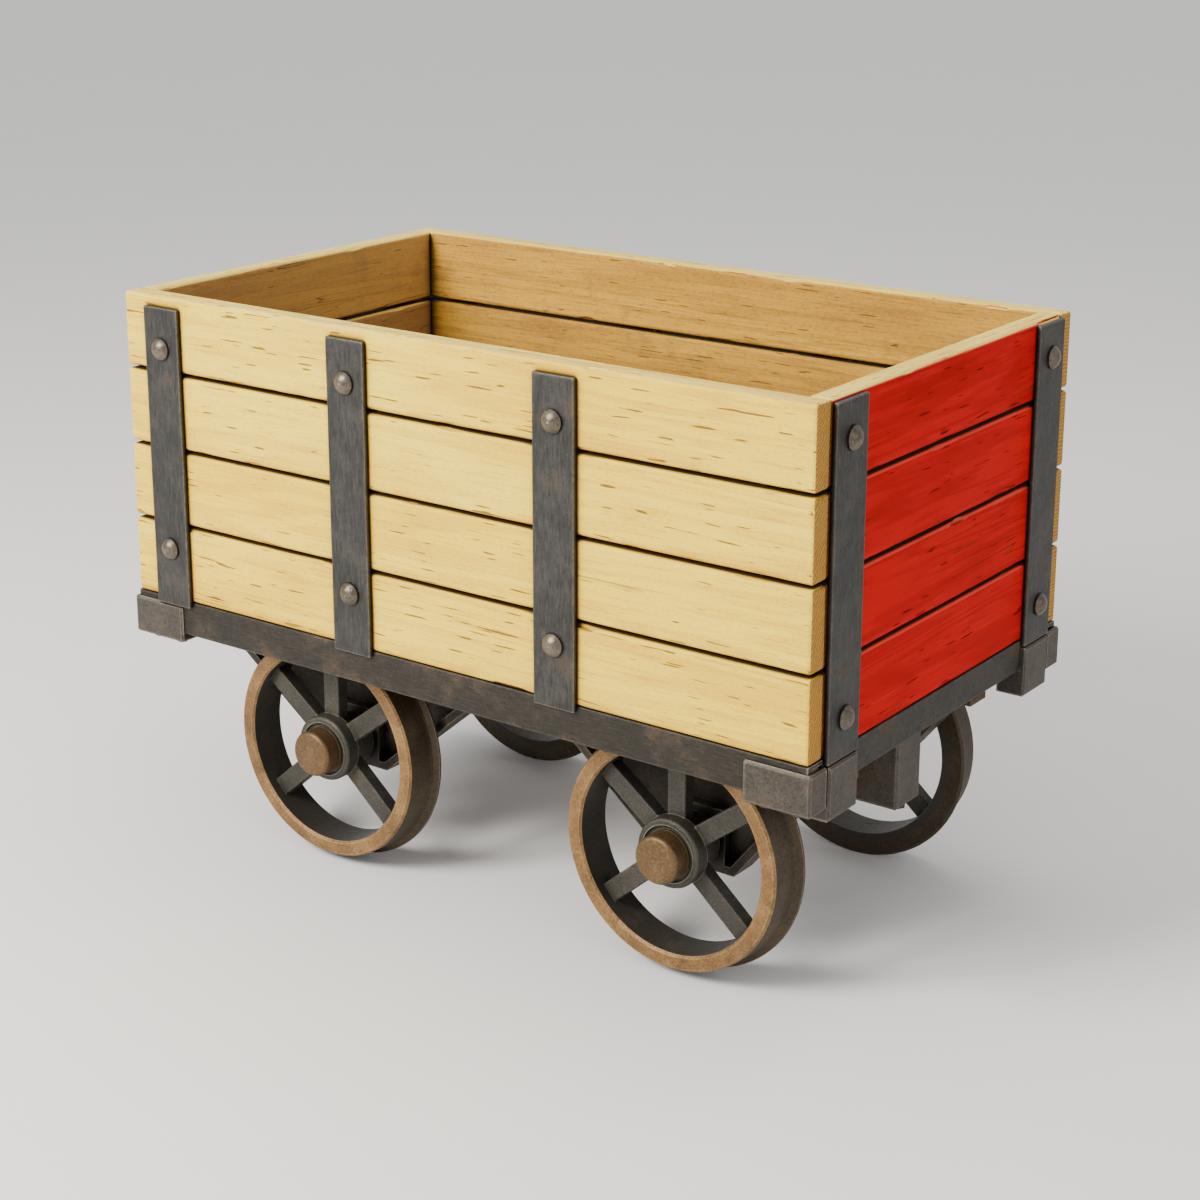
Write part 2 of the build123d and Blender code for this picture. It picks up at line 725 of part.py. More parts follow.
def wheel():
    """Cast wheel about the Y axis, its flange towards the middle of the cart."""
    middle = (wheel_back + wheel_front) / 2
    start = (hub_barrel_radius + bush_radius) / 2
    spoke = block((-spoke_width / 2, spoke_width / 2), (middle - spoke_depth / 2, middle + spoke_depth / 2),
                  (start, rim_inner_radius + rim_thickness / 4))
    spoke = fillet(spoke.edges().filter_by(Axis.Z), spoke_rounding)
    casting = wheel_rim() + wheel_hub()
    casting += [Rot(0, 90 - angle, 0) * spoke for angle in spoke_angles]
    bore = rod((0, 0, 0), OUT, bush_radius + press_clearance, 2 * wheel_front)
    counterbore = rod((0, bush_front, 0), OUT, cap_spigot_radius + press_clearance, wheel_front)
    return casting - bore - counterbore


def wheel_bush():
    """Bronze bush, pressed in the hub, that runs on the journal."""
    length = bush_front - hub_back
    bush = rod((0, hub_back, 0), OUT, bush_radius, length)
    return bush - rod((0, 0, 0), OUT, journal_radius + running_clearance, wheel_front)


def hub_cap():
    """Bronze cap whose spigot fits in the hub's counterbore."""
    crown_end = hub_front + cap_protrusion
    cap = rod((0, hub_front, 0), OUT, cap_radius, cap_protrusion)
    cap = fillet(cap.edges().filter_by(GeomType.CIRCLE).group_by(Axis.Y)[-1], cap_rounding)
    cap += rod((0, hub_front - cap_spigot_length, 0), OUT, cap_spigot_radius, cap_spigot_length)
    cavity_radius = cap_spigot_radius - cap_spigot_wall
    depth = cap_spigot_length + cap_protrusion - cap_wall
    return cap - rod((0, crown_end - cap_wall - depth, 0), OUT, cavity_radius, depth)


# ---------------------------------------------------------------- saving
def save(node, pieces):
    """Write one node, with each of its pieces a separate solid, at its height above the ground."""
    solids = [Pos(0, 0, deck_height) * solid for piece in pieces for solid in piece.solids()]
    export_step(Compound(solids), f"parts/{node}.step")


def save_body():
    save("side_boards_far", side_boards())
    save("side_boards_near", [near(board) for board in side_boards()])
    save("end_boards_front", end_boards())
    save("end_boards_rear", [rear(board) for board in end_boards()])
    save("floor_planks", floor_planks())
    save("floor_nails", both_sides(nails()))
    save("edge_dowels", both_sides(side_dowels()) + both_ends(end_dowels()))
    save("corner_dowels", four_corners(corner_dowels()))
    for number, station in enumerate(side_strap_stations, start=1):
        strap = side_strap(station)
        save(f"side_strap_far_{number}", [strap])
        save(f"side_strap_near_{number}", [near(strap)])
    save_corners("end_strap", end_strap())
    save("side_strap_screws", both_sides([dome_screw(point, IN) for point in side_bolt_points()]))
    save("end_strap_screws", both_ends([dome_screw(point, (-1, 0, 0)) for point in end_bolt_points()]))


def save_corners(name, piece):
    """Write a far front piece and its three mirrored copies as four nodes."""
    save(f"{name}_front_far", [piece])
    save(f"{name}_front_near", [near(piece)])
    save(f"{name}_rear_far", [rear(piece)])
    save(f"{name}_rear_near", [rear(near(piece))])


def save_frame():
    save("side_rail_far", [side_rail()])
    save("side_rail_near", [near(side_rail())])
    save("end_rail_front", [end_rail()])
    save("end_rail_rear", [rear(end_rail())])
    save_corners("corner_shoe", corner_shoe())
    save("shoe_bolts", four_corners(shoe_bolts()))
    save("sill_far", [sill()])
    save("sill_near", [near(sill())])
    save("cross_bearer_front", [end_bearer()])
    save("cross_bearer_middle", [middle_bearer()])
    save("cross_bearer_rear", [rear(end_bearer())])
    save("coupling_block_front", [coupling_block()])
    save("coupling_block_rear", [rear(coupling_block())])
    screws = both_sides(wall_screws(side_rail_screw_points()))
    screws += both_ends(wall_screws(end_rail_screw_points()) + block_bolts())
    save("frame_screws", screws + both_sides(bearer_screws()))


def save_running_gear():
    washers, nuts, pins, screws = [], [], [], []
    for end, axle in (("rear", rear_axle), ("front", front_axle)):
        save(f"axle_{end}", [axle_bar(axle)])
        save(f"axle_bracket_{end}_far", [axle_bracket(axle)])
        save(f"axle_bracket_{end}_near", [near(axle_bracket(axle))])
        screws += both_sides(bracket_screws(axle) + [set_screw(axle)])
        washers += both_sides(axle_washers(axle))
        nuts += both_sides([axle_nut(axle)])
        pins += both_sides([split_pin(axle)])
        for name, piece in (("wheel", wheel()), ("wheel_bush", wheel_bush()), ("hub_cap", hub_cap())):
            placed = Pos(axle, 0, -axle_drop) * piece
            save(f"{name}_{end}_far", [placed])
            save(f"{name}_{end}_near", [near(placed)])
    save("bracket_screws", screws)
    save("axle_washers", washers)
    save("axle_nuts", nuts)
    save("split_pins", pins)


os.makedirs("parts", exist_ok=True)
save_body()
save_frame()
save_running_gear()
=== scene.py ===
"""Looks of the mine cart: worn sawn boards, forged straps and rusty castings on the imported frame.

Everything is in metres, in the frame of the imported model: +X to the front end, +Y to the far
side, +Z up, and the ground at z = 0.
"""

import json
import math

import bmesh
import bpy
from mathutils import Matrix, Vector, noise

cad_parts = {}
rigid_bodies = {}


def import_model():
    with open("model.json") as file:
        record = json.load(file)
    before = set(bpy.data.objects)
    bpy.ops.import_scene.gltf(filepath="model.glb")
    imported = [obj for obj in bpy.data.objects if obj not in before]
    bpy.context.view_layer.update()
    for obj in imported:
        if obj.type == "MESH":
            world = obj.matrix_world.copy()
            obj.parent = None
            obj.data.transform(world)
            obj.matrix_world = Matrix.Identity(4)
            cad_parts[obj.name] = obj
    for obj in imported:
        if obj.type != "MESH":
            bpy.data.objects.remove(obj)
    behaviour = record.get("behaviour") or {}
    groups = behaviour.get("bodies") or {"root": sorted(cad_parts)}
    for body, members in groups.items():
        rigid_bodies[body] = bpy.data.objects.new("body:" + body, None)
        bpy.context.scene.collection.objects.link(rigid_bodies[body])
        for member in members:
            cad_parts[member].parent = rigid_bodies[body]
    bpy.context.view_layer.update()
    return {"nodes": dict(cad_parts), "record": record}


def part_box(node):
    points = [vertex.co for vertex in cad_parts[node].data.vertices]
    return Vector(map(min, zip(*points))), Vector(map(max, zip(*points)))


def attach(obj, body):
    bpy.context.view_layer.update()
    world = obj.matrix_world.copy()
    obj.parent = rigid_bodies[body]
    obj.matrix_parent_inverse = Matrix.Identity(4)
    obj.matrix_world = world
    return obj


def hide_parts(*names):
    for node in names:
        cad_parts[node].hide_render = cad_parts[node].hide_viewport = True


for leftover in list(bpy.data.objects):
    bpy.data.objects.remove(leftover)

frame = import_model()

CART = "cart_body"
AXES = {"x": 0, "y": 1, "z": 2}

# ---------------------------------------------------------------- places read from the frame
side_low, side_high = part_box("side_boards_far")
end_low, end_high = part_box("end_boards_front")
deck = side_low.z
wall_top = side_high.z
board_count = 4
board_pitch = (wall_top - deck) / board_count
inner_half_width = side_low.y
half_width = side_high.y
inner_half_length = end_low.x
half_length = end_high.x

joint_list = frame["record"]["behaviour"]["joints"]
joints = {joint["child"]: Vector(joint["pos_m"]) for joint in joint_list}
axle_points = {"front": joints["wheel_set_front_near"], "rear": joints["wheel_set_rear_near"]}
hub_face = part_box("wheel_front_far")[1].y
board_gap = 0.006       # open joint between two wall boards
hub_proud = 0.002       # how far a hub stands out past the face of its rim
rim_inner = 0.190       # inner radius of a rim


# ---------------------------------------------------------------- camera
camera_azimuth = math.radians(36.41)        # from -Y towards +X
camera_elevation = math.radians(15.72)
camera_distance = 4.461
camera_aim = Vector((0, 0, deck + 0.25))
camera_lens = 70
camera_shift = (0.010, -0.100)


def set_camera():
    """Camera off the near front corner, a little above the rim of the box."""
    data = bpy.data.cameras.new("viewpoint")
    camera = bpy.data.objects.new("viewpoint", data)
    bpy.context.scene.collection.objects.link(camera)
    bpy.context.scene.camera = camera
    level = math.cos(camera_elevation) * camera_distance
    rise = math.sin(camera_elevation) * camera_distance
    away = Vector((math.sin(camera_azimuth) * level, -math.cos(camera_azimuth) * level, rise))
    camera.location = camera_aim + away
    camera.rotation_euler = (-away).to_track_quat("-Z", "Y").to_euler()
    data.lens = camera_lens
    data.shift_x, data.shift_y = camera_shift


# ---------------------------------------------------------------- shader maths
edge_samples = 6
shelter_samples = 8
noise_lacunarity = 2.17     # kept off a whole number, so that the layers of noise never line up


class Signal:
    """A socket of a finish's node tree that can be used in sums and products."""

    def __init__(self, finish, socket):
        self.finish = finish
        self.socket = socket

    def maths(self, operation, *others):
        values = dict(enumerate((self,) + others))
        return self.finish.signal("Math", {"operation": operation}, values)

    def __add__(self, other):
        return self.maths("ADD", other)

    def __sub__(self, other):
        return self.maths("SUBTRACT", other)

    def __rsub__(self, other):
        return self.finish.signal("Math", {"operation": "SUBTRACT"}, {0: other, 1: self})

    def __mul__(self, other):
        return self.maths("MULTIPLY", other)

    def __gt__(self, other):
        return self.maths("GREATER_THAN", other)

    __radd__ = __add__
    __rmul__ = __mul__


class Finish:
    """A procedural material under construction."""

    def __init__(self, name):
        self.material = bpy.data.materials.new(name)
        self.material.use_nodes = True
        self.tree = self.material.node_tree
        self.tree.nodes.clear()
        coordinates = self.node("TexCoord")
        self.here = Signal(self, coordinates.outputs["Object"])
        self.normal = Signal(self, coordinates.outputs["Normal"])
        self.x, self.y, self.z = self.split(self.here)
        self.nx, self.ny, self.nz = self.split(self.normal)

    def node(self, kind, settings=(), sockets=()):
        """Any node: its settings are set first, then the values or links of its sockets."""
        made = self.tree.nodes.new("ShaderNode" + kind)
        for name, value in dict(settings).items():
            setattr(made, name, value)
        for key, value in dict(sockets).items():
            if isinstance(value, Signal):
                self.tree.links.new(value.socket, made.inputs[key])
            else:
                made.inputs[key].default_value = value
        return made

    def signal(self, kind, settings=(), sockets=(), output=0):
        return Signal(self, self.node(kind, settings, sockets).outputs[output])

    def split(self, vector):
        parts = self.node("SeparateXYZ", sockets={0: vector})
        return [Signal(self, parts.outputs[index]) for index in range(3)]

    def join(self, x, y, z):
        return self.signal("CombineXYZ", sockets={0: x, 1: y, 2: z})

    def stretched(self, amounts):
        """Position, multiplied by an amount along each axis."""
        return self.signal("VectorMath", {"operation": "MULTIPLY"}, {0: self.here, 1: amounts})

    def shifted(self, vector, shift):
        return self.signal("VectorMath", {"operation": "ADD"}, {0: vector, 1: shift})

    def noise(self, vector, scale, detail=3.0, rough=0.5, bend=0.0):
        sockets = {"Vector": vector, "Scale": scale, "Detail": detail, "Roughness": rough,
                   "Lacunarity": noise_lacunarity, "Distortion": bend}
        return self.signal("TexNoise", sockets=sockets)

    def cells(self, vector, scale, feature="F1"):
        return self.signal("TexVoronoi", {"feature": feature}, {"Vector": vector, "Scale": scale})

    def ramp(self, value, low, high):
        """0 below low and 1 above high, with a smooth rise; low above high turns it over."""
        settings = {"interpolation_type": "SMOOTHSTEP"}
        sockets = {"Value": value, "From Min": low, "From Max": high}
        return self.signal("MapRange", settings, sockets)

    def mix(self, first, second, amount):
        """Colour that goes from the first to the second."""
        pair = []
        for colour in (first, second):
            pair.append(colour if isinstance(colour, Signal) else (*colour, 1))
        sockets = {0: amount, 6: pair[0], 7: pair[1]}
        return self.signal("Mix", {"data_type": "RGBA"}, sockets, output=2)

    def edge(self, radius):
        """How much the surface turns within a radius: high on corners."""
        rounded = self.signal("Bevel", {"samples": edge_samples}, {"Radius": radius})
        flat = Signal(self, self.node("NewGeometry").outputs["Normal"])
        sockets = {0: rounded, 1: flat}
        along = self.signal("VectorMath", {"operation": "DOT_PRODUCT"}, sockets, output="Value")
        return 1.0 - along

    def shelter(self, distance):
        """1 in gaps and corners, 0 in the open."""
        sockets = {"Distance": distance}
        settings = {"samples": shelter_samples}
        occlusion = self.signal("AmbientOcclusion", settings, sockets, output="AO")
        return 1.0 - occlusion

    def relief(self, height, depth, below=None):
        sockets = {"Height": height, "Distance": depth, "Strength": 1.0}
        if below is not None:
            sockets["Normal"] = below
        return self.signal("Bump", sockets=sockets)

    def done(self, colour, rough, metal, relief, specular=0.5):
        sockets = {"Base Color": colour, "Roughness": rough, "Metallic": metal, "Normal": relief,
                   "Specular IOR Level": specular}
        shader = self.node("BsdfPrincipled", sockets=sockets)
        output = self.node("OutputMaterial")
        self.tree.links.new(shader.outputs[0], output.inputs["Surface"])
        return self.material


# ---------------------------------------------------------------- wood finishes
PALE_BOARD = (0.86, 0.56, 0.032)
PALE_BOARD_LIGHT = (0.93, 0.68, 0.065)
HONEY = (0.50, 0.22, 0.018)
DASH = (0.130, 0.042, 0.012)
INNER_BOARD = (0.43, 0.215, 0.040)
INNER_BOARD_LIGHT = (0.70, 0.39, 0.050)
INNER_BOARD_DARK = (0.17, 0.080, 0.020)
INNER_END = (0.25, 0.155, 0.085)
TOP_EDGE = (0.72, 0.50, 0.090)
TOP_EDGE_LIGHT = (0.88, 0.68, 0.17)
SAWN_END = (0.52, 0.265, 0.050)
SAWN_END_DARK = (0.17, 0.073, 0.014)
# Near-black for grime and painted shade, mixed in by ambient occlusion in gaps and corners.
GRIME_AND_SHADE = (0.016, 0.009, 0.004)
RED_PAINT = (0.50, 0.0015, 0.0015)
RED_PAINT_LIGHT = (0.66, 0.006, 0.004)
RED_PAINT_DARK = (0.24, 0.001, 0.001)
# Light red of the painted highlight along the top rounding of each red board.
RED_TOP_HIGHLIGHT = (0.76, 0.070, 0.045)
RED_DASH = (0.060, 0.001, 0.001)
WEATHERED = (0.150, 0.068, 0.022)
FLOOR_BOARD = (0.25, 0.135, 0.045)
FLOOR_BOARD_DARK = (0.10, 0.052, 0.018)
OAK = (0.066, 0.035, 0.015)
OAK_LIGHT = (0.115, 0.062, 0.026)
OAK_DARK = (0.024, 0.013, 0.006)
# Dowel tones, kept dark as painted shade for dowels seen through the gaps between boards.
SHADED_DOWEL = (0.13, 0.065, 0.022)
SHADED_DOWEL_DARK = (0.060, 0.028, 0.010)
ORE_DUST = (0.080, 0.062, 0.042)

board_relief = 0.0017
floor_relief = 0.0014
oak_relief = 0.0013
dowel_relief = 0.0003
heart_depth = 0.3       # how far below the deck the heart of the tree lay
heart_offset = 0.9      # where it lay across the cart, as a share of the half width


class Grain:
    """Patterns of a sawn board whose fibres run along one axis."""

    def __init__(self, finish, along):
        self.finish = finish
        self.along = AXES[along]
        level = (finish.z - deck) * (1 / board_pitch)
        course = level.maths("FLOOR")
        self.height = level - course
        self.shift = finish.join(course * 3.71 + 0.37, course * 1.93 + 0.21,
                                 course * 5.31 + 0.43)

    def stretch(self, length):
        """Position with the fibres drawn out, and moved to a fresh place in each board."""
        amounts = [1.0, 1.0, 1.0]
        amounts[self.along] = 1 / length
        return self.finish.shifted(self.finish.stretched(tuple(amounts)), self.shift)

    def rings(self):
        """Broad growth lines that wander along the board."""
        wander = self.finish.noise(self.stretch(14), 7.0, detail=3.0, bend=0.35)
        waves = (wander * 62.0).maths("SINE") * 0.5 + 0.5
        return self.finish.ramp(waves, 0.25, 1.0)

    def fibres(self):
        """Fine streaks between the growth lines."""
        return self.finish.noise(self.stretch(26), 210.0, detail=3.0, rough=0.6)

    def tone(self):
        """How light each board is as a whole."""
        return self.finish.noise(self.shift, 1.7, detail=0.0)

    def dashes(self):
        """Short thin dark pores along the fibres, more of them towards the lower edge."""
        pores = self.finish.noise(self.stretch(14), 210.0, detail=0.5)
        lower = self.finish.ramp(self.height, 0.22, 0.03) * 0.035
        return self.finish.ramp(pores + lower, 0.722, 0.765)

    def flecks(self):
        """Fine freckles that make the bare wood lively."""
        return self.finish.noise(self.stretch(2.5), 300.0, detail=2.0, rough=0.7)

    def checks(self):
        """Long drying cracks."""
        crack = self.finish.noise(self.stretch(24), 26.0, detail=2.0, bend=0.2)
        thin = 1.0 - self.finish.ramp((crack - 0.5).maths("ABSOLUTE"), 0.0, 0.007)
        where = self.finish.ramp(self.finish.noise(self.stretch(3), 3.4, detail=1.0), 0.58, 0.66)
        return thin * where


def sawn_end(finish):
    """Colour of end grain, with rings about a heart below the board, and the rings' height."""
    local = finish.join(finish.y, finish.z, finish.x)
    bent = finish.noise(local, 14.0, detail=2.0)
    across = finish.y - half_width * heart_offset
    above = finish.z - (deck - heart_depth)
    span = (across * across + above * above).maths("SQRT")
    waves = ((span + bent * 0.02) * 900.0).maths("SINE") * 0.5 + 0.5
    pores = finish.ramp(finish.noise(local, 420.0, detail=2.0), 0.40, 0.66)
    return finish.mix(SAWN_END, SAWN_END_DARK, waves * 0.45 + pores * 0.40), waves


def bare_board_colour(finish, grain, light, main, dark, dash_amount):
    """Colour of bare sawn wood, with worn edges left to the caller."""
    broad = finish.noise(grain.stretch(5), 5.0, detail=3.0) + grain.tone() * 0.5
    colour = finish.mix(main, light, finish.ramp(broad, 0.56, 0.92))
    colour = finish.mix(colour, dark, grain.rings() * 0.22)
    colour = finish.mix(colour, dark, finish.ramp(grain.fibres(), 0.48, 0.72) * 0.40)
    colour = finish.mix(colour, dark, finish.ramp(grain.flecks(), 0.54, 0.70) * 0.38)
    colour = finish.mix(colour, light, finish.ramp(grain.flecks(), 0.46, 0.30) * 0.35)
    return finish.mix(colour, DASH, grain.dashes() * dash_amount)


def board_finish(name, along, red=False):
    """Wall board: one look outside, one inside the box, and its own top edge and sawn ends."""
    finish = Finish(name)
    grain = Grain(finish, along)
    edge = finish.edge(0.010)
    shelter = finish.shelter(0.045)
    wear_noise = finish.noise(grain.stretch(3), 42.0, detail=4.0)
    inside = bare_board_colour(finish, grain, INNER_BOARD_LIGHT, INNER_BOARD, INNER_BOARD_DARK,
                               0.75)
    # Painted shade: the inside face darkens towards the deck, deep in the box.
    inside = finish.mix(inside, INNER_BOARD_DARK, finish.ramp(finish.z, wall_top, deck) * 0.55)
    scuffs = finish.ramp(finish.noise(finish.here, 9.0, detail=6.0, rough=0.65), 0.56, 0.70)
    inside = finish.mix(inside, ORE_DUST, scuffs * 0.30)
    if along == "x":
        outward = finish.y * finish.ny
        depth = finish.y.maths("ABSOLUTE")
        end_facing = finish.nx.maths("ABSOLUTE")
        inner_plane, outer_plane = inner_half_width, half_width
    else:
        outward = finish.x * finish.nx
        depth = finish.x.maths("ABSOLUTE")
        end_facing = finish.ny.maths("ABSOLUTE")
        inner_plane, outer_plane = inner_half_length, half_length
    if red:
        inside = finish.mix(inside, INNER_END, 0.5)
        outside, chips = red_paint(finish, grain, edge)
        near_face = finish.ramp(depth, outer_plane - 0.010, outer_plane - 0.003)
        # Painted highlight: light red on the upward-facing rounding of each red board.
        outside = finish.mix(outside, RED_TOP_HIGHLIGHT, finish.ramp(finish.nz, 0.20, 0.55) * 0.75)
        natural = finish.mix(inside, TOP_EDGE, finish.ramp(finish.nz, 0.3, 0.7))
        colour = finish.mix(natural, outside, near_face * (outward > 0.02))
    else:
        outside = bare_board_colour(finish, grain, PALE_BOARD_LIGHT, PALE_BOARD, HONEY, 0.80)
        # Honey-brown towards the lower edge of each board, broken up by noise.
        darker_towards_lower_edge = finish.ramp(grain.height + wear_noise * 0.35, 0.34, 0.12)
        outside = finish.mix(outside, HONEY, darker_towards_lower_edge * 0.60)
        # Painted highlight: lighter wood on the upward-facing rounding of each board.
        top_rounding_highlight = finish.ramp(finish.nz, 0.15, 0.60)
        outside = finish.mix(outside, PALE_BOARD_LIGHT, top_rounding_highlight * 0.8)
        chips = finish.ramp(edge * 1.6 + wear_noise, 0.70, 0.95)
        outside = finish.mix(outside, HONEY, chips * 0.80)
        # Painted shade and stain: honey-brown where the boards are occluded, beside straps, bolts
        # and gaps.
        stain_and_shade_in_corners = finish.ramp(shelter + wear_noise * 0.2, 0.14, 0.45)
        outside = finish.mix(outside, HONEY, stain_and_shade_in_corners * 0.7)
        near_face = finish.ramp(depth, inner_plane + 0.006, inner_plane + 0.020)
        colour = finish.mix(inside, outside, near_face)
    top = (finish.nz > 0.6) * finish.ramp(finish.z, wall_top - 0.02, wall_top - 0.008)
    top_colour = bare_board_colour(finish, grain, TOP_EDGE_LIGHT, TOP_EDGE, HONEY, 0.6)
    colour = finish.mix(colour, top_colour, top)
    end_colour, end_waves = sawn_end(finish)
    end_mask = end_facing > 0.7
    colour = finish.mix(colour, end_colour, end_mask)
    colour = finish.mix(colour, DASH, grain.checks() * (1.0 - end_mask) * 0.85)
    # Painted shade and grime: near-black in the gaps between boards and beside straps and bolts.
    colour = finish.mix(colour, GRIME_AND_SHADE, finish.ramp(shelter, 0.16, 0.56) * 0.95)
    height = grain.rings() * 0.30 + grain.fibres() * 0.55
    height = height - grain.dashes() * 0.8 - grain.checks() * 1.6
    height = height * (1.0 - end_mask) + end_waves * end_mask * 0.4
    if red:
        rough = 0.46 + chips * 0.3 + wear_noise * 0.12
        height = height * (0.45 + chips * 0.55) - chips * 0.35
        specular = 0.03
    else:
        rough = 0.66 + wear_noise * 0.22
        specular = 0.12
    return finish.done(colour, rough, 0.0, finish.relief(height, board_relief), specular)


def red_paint(finish, grain, edge):
    """Red paint that has faded in streaks, and where it has chipped off to bare wood."""
    streak = finish.noise(grain.stretch(4), 9.0, detail=5.0, rough=0.6)
    paint = finish.mix(RED_PAINT, RED_PAINT_DARK, finish.ramp(streak, 0.44, 0.72) * 0.65)
    paint = finish.mix(paint, RED_PAINT_LIGHT, finish.ramp(grain.fibres(), 0.52, 0.75) * 0.55)
    paint = finish.mix(paint, RED_PAINT_DARK, grain.rings() * 0.35)
    paint = finish.mix(paint, RED_PAINT_DARK, finish.ramp(edge, 0.04, 0.30) * 0.5)
    paint = finish.mix(paint, RED_DASH, grain.dashes() * 0.8)
    flakes = finish.noise(finish.here, 95.0, detail=6.0, rough=0.7)
    patches = finish.noise(finish.here, 7.0, detail=3.0)
    chips = finish.ramp(flakes + patches * 0.28 + edge * 0.7, 0.955, 0.985)
    bare = finish.mix(WEATHERED, DASH, finish.ramp(grain.fibres(), 0.4, 0.7))
    return finish.mix(paint, bare, chips * 0.85), chips


def floor_finish():
    """Floor planks, scraped by ore and grey with its dust."""
    finish = Finish("scraped_floor")
    grain = Grain(finish, "y")
    colour = bare_board_colour(finish, grain, INNER_BOARD, FLOOR_BOARD, FLOOR_BOARD_DARK, 0.7)
    dust = finish.ramp(finish.noise(finish.here, 6.0, detail=7.0, rough=0.65), 0.42, 0.66)
    colour = finish.mix(colour, ORE_DUST, dust * 0.55)
    scrape = finish.noise(finish.stretched((1.0, 9.0, 1.0)), 38.0, detail=4.0)
    scraped = finish.ramp(scrape, 0.60, 0.68)
    colour = finish.mix(colour, INNER_BOARD, scraped * 0.4)
    # Painted shade and grime: near-black in the corners and gaps of the floor.
    dirt_and_shade_mask = finish.ramp(finish.shelter(0.05), 0.15, 0.8)
    colour = finish.mix(colour, GRIME_AND_SHADE, dirt_and_shade_mask * 0.85)
    height = grain.rings() * 0.5 + grain.fibres() * 0.5 - grain.checks() - scraped * 0.8
    relief = finish.relief(height, floor_relief)
    return finish.done(colour, 0.72 + dust * 0.15, 0.0, relief, specular=0.2)


def frame_timber_finish():
    """Dark tarred oak of the sills and cross-bearers."""
    finish = Finish("tarred_oak")
    grain = Grain(finish, "x")
    colour = bare_board_colour(finish, grain, OAK_LIGHT, OAK, OAK_DARK, 0.5)
    # Painted shade and grime: near-black in the corners and gaps of the frame timbers.
    dirt_and_shade_mask = finish.ramp(finish.shelter(0.04), 0.2, 0.85)
    colour = finish.mix(colour, GRIME_AND_SHADE, dirt_and_shade_mask * 0.8)
    height = grain.rings() * 0.5 + grain.fibres() * 0.6 - grain.checks() * 1.5
    relief = finish.relief(height, oak_relief)
    return finish.done(colour, 0.66 + grain.fibres() * 0.2, 0.0, relief, specular=0.4)


def dowel_finish():
    """Turned hardwood of the dowels, painted dark brown as shade in the gaps between the boards."""
    finish = Finish("turned_hardwood_in_shade")
    fibre = finish.noise(finish.stretched((1.0, 1.0, 0.1)), 260.0, detail=3.0)
    colour = finish.mix(SHADED_DOWEL, SHADED_DOWEL_DARK, fibre)
    # Painted shade and grime: near-black where the dowels sit deep in the joints.
    colour = finish.mix(colour, GRIME_AND_SHADE, finish.ramp(finish.shelter(0.02), 0.15, 0.60) * 0.95)
    return finish.done(colour, 0.5 + fibre * 0.2, 0.0, finish.relief(fibre, dowel_relief))


# ---------------------------------------------------------------- metal finishes
# Each metal has a main, a light and a dark tone.
SLATE = (0.031, 0.0305, 0.0275), (0.064, 0.062, 0.055), (0.013, 0.012, 0.011)
RAIL_IRON = (0.023, 0.019, 0.014), (0.048, 0.040, 0.030), (0.009, 0.007, 0.005)
BLOCK_IRON = (0.054, 0.045, 0.036), (0.098, 0.083, 0.066), (0.022, 0.018, 0.013)
BRACKET_IRON = (0.044, 0.036, 0.028), (0.080, 0.066, 0.052), (0.018, 0.015, 0.011)
SCREW_IRON = (0.105, 0.086, 0.064), (0.20, 0.17, 0.13), (0.040, 0.031, 0.022)
SPOKE_IRON = (0.044, 0.040, 0.032), (0.086, 0.079, 0.063), (0.017, 0.015, 0.012)
TREAD_IRON = (0.046, 0.031, 0.016), (0.085, 0.060, 0.033), (0.017, 0.011, 0.006)
RIM_INNER_FACE = (0.036, 0.029, 0.021)
RUST = (0.055, 0.029, 0.013)
RUST_LIGHT = (0.105, 0.060, 0.028)
BARE_EDGE = (0.36, 0.315, 0.24)
# Near-black for oil and painted shade, mixed in by ambient occlusion in gaps and corners.
OIL_AND_SHADE = (0.008, 0.006, 0.004)
BRONZE_DARK = (0.075, 0.036, 0.012)
RIM_BRONZE = (0.200, 0.106, 0.035), (0.370, 0.215, 0.082), BRONZE_DARK
CAP_BRONZE = (0.118, 0.069, 0.029), (0.215, 0.130, 0.058), BRONZE_DARK
BRONZE_EDGE = (0.72, 0.50, 0.26)

drawn_share = 0.16      # how much finer the pattern is across a drawn bar than along it
iron_relief = 0.0016
bronze_relief = 0.0011


class Scale:
    """Patterns of cast iron, or of iron drawn along an axis: blotches, specks and pits."""

    def __init__(self, finish, edge_radius, drawn=None):
        self.finish = finish
        lengths = [1.0, 1.0, 1.0]
        if drawn:
            lengths[AXES[drawn]] = drawn_share
        self.blotch = finish.noise(finish.here, 13.0, detail=5.0, rough=0.62)
        self.speck = finish.noise(finish.here, 330.0, detail=3.0, rough=0.65)
        self.grit = finish.noise(finish.here, 120.0, detail=4.0, rough=0.7)
        self.draw = finish.noise(finish.stretched(tuple(lengths)), 240.0, detail=3.0, rough=0.6)
        self.hammer = finish.noise(finish.here, 34.0, detail=2.0)
        self.edge = finish.edge(edge_radius)
        self.pits = finish.ramp(finish.cells(finish.here, 95.0), 0.24, 0.10)

    def worn(self, amount):
        """Corners rubbed to bare metal."""
        start = 0.42 - 0.2 * amount
        return self.finish.ramp(self.edge + self.grit * 0.30, start, start + 0.18)

    def rusted(self, amount):
        """Rust that starts in blotches and round the corners."""
        start = 0.86 - 0.3 * amount
        spread = self.blotch + self.edge * 0.25 + self.grit * 0.30
        return self.finish.ramp(spread, start, start + 0.14)

    def height(self, hammer, grit, speck, pits):
        return self.hammer * hammer + self.grit * grit + self.speck * speck - self.pits * pits


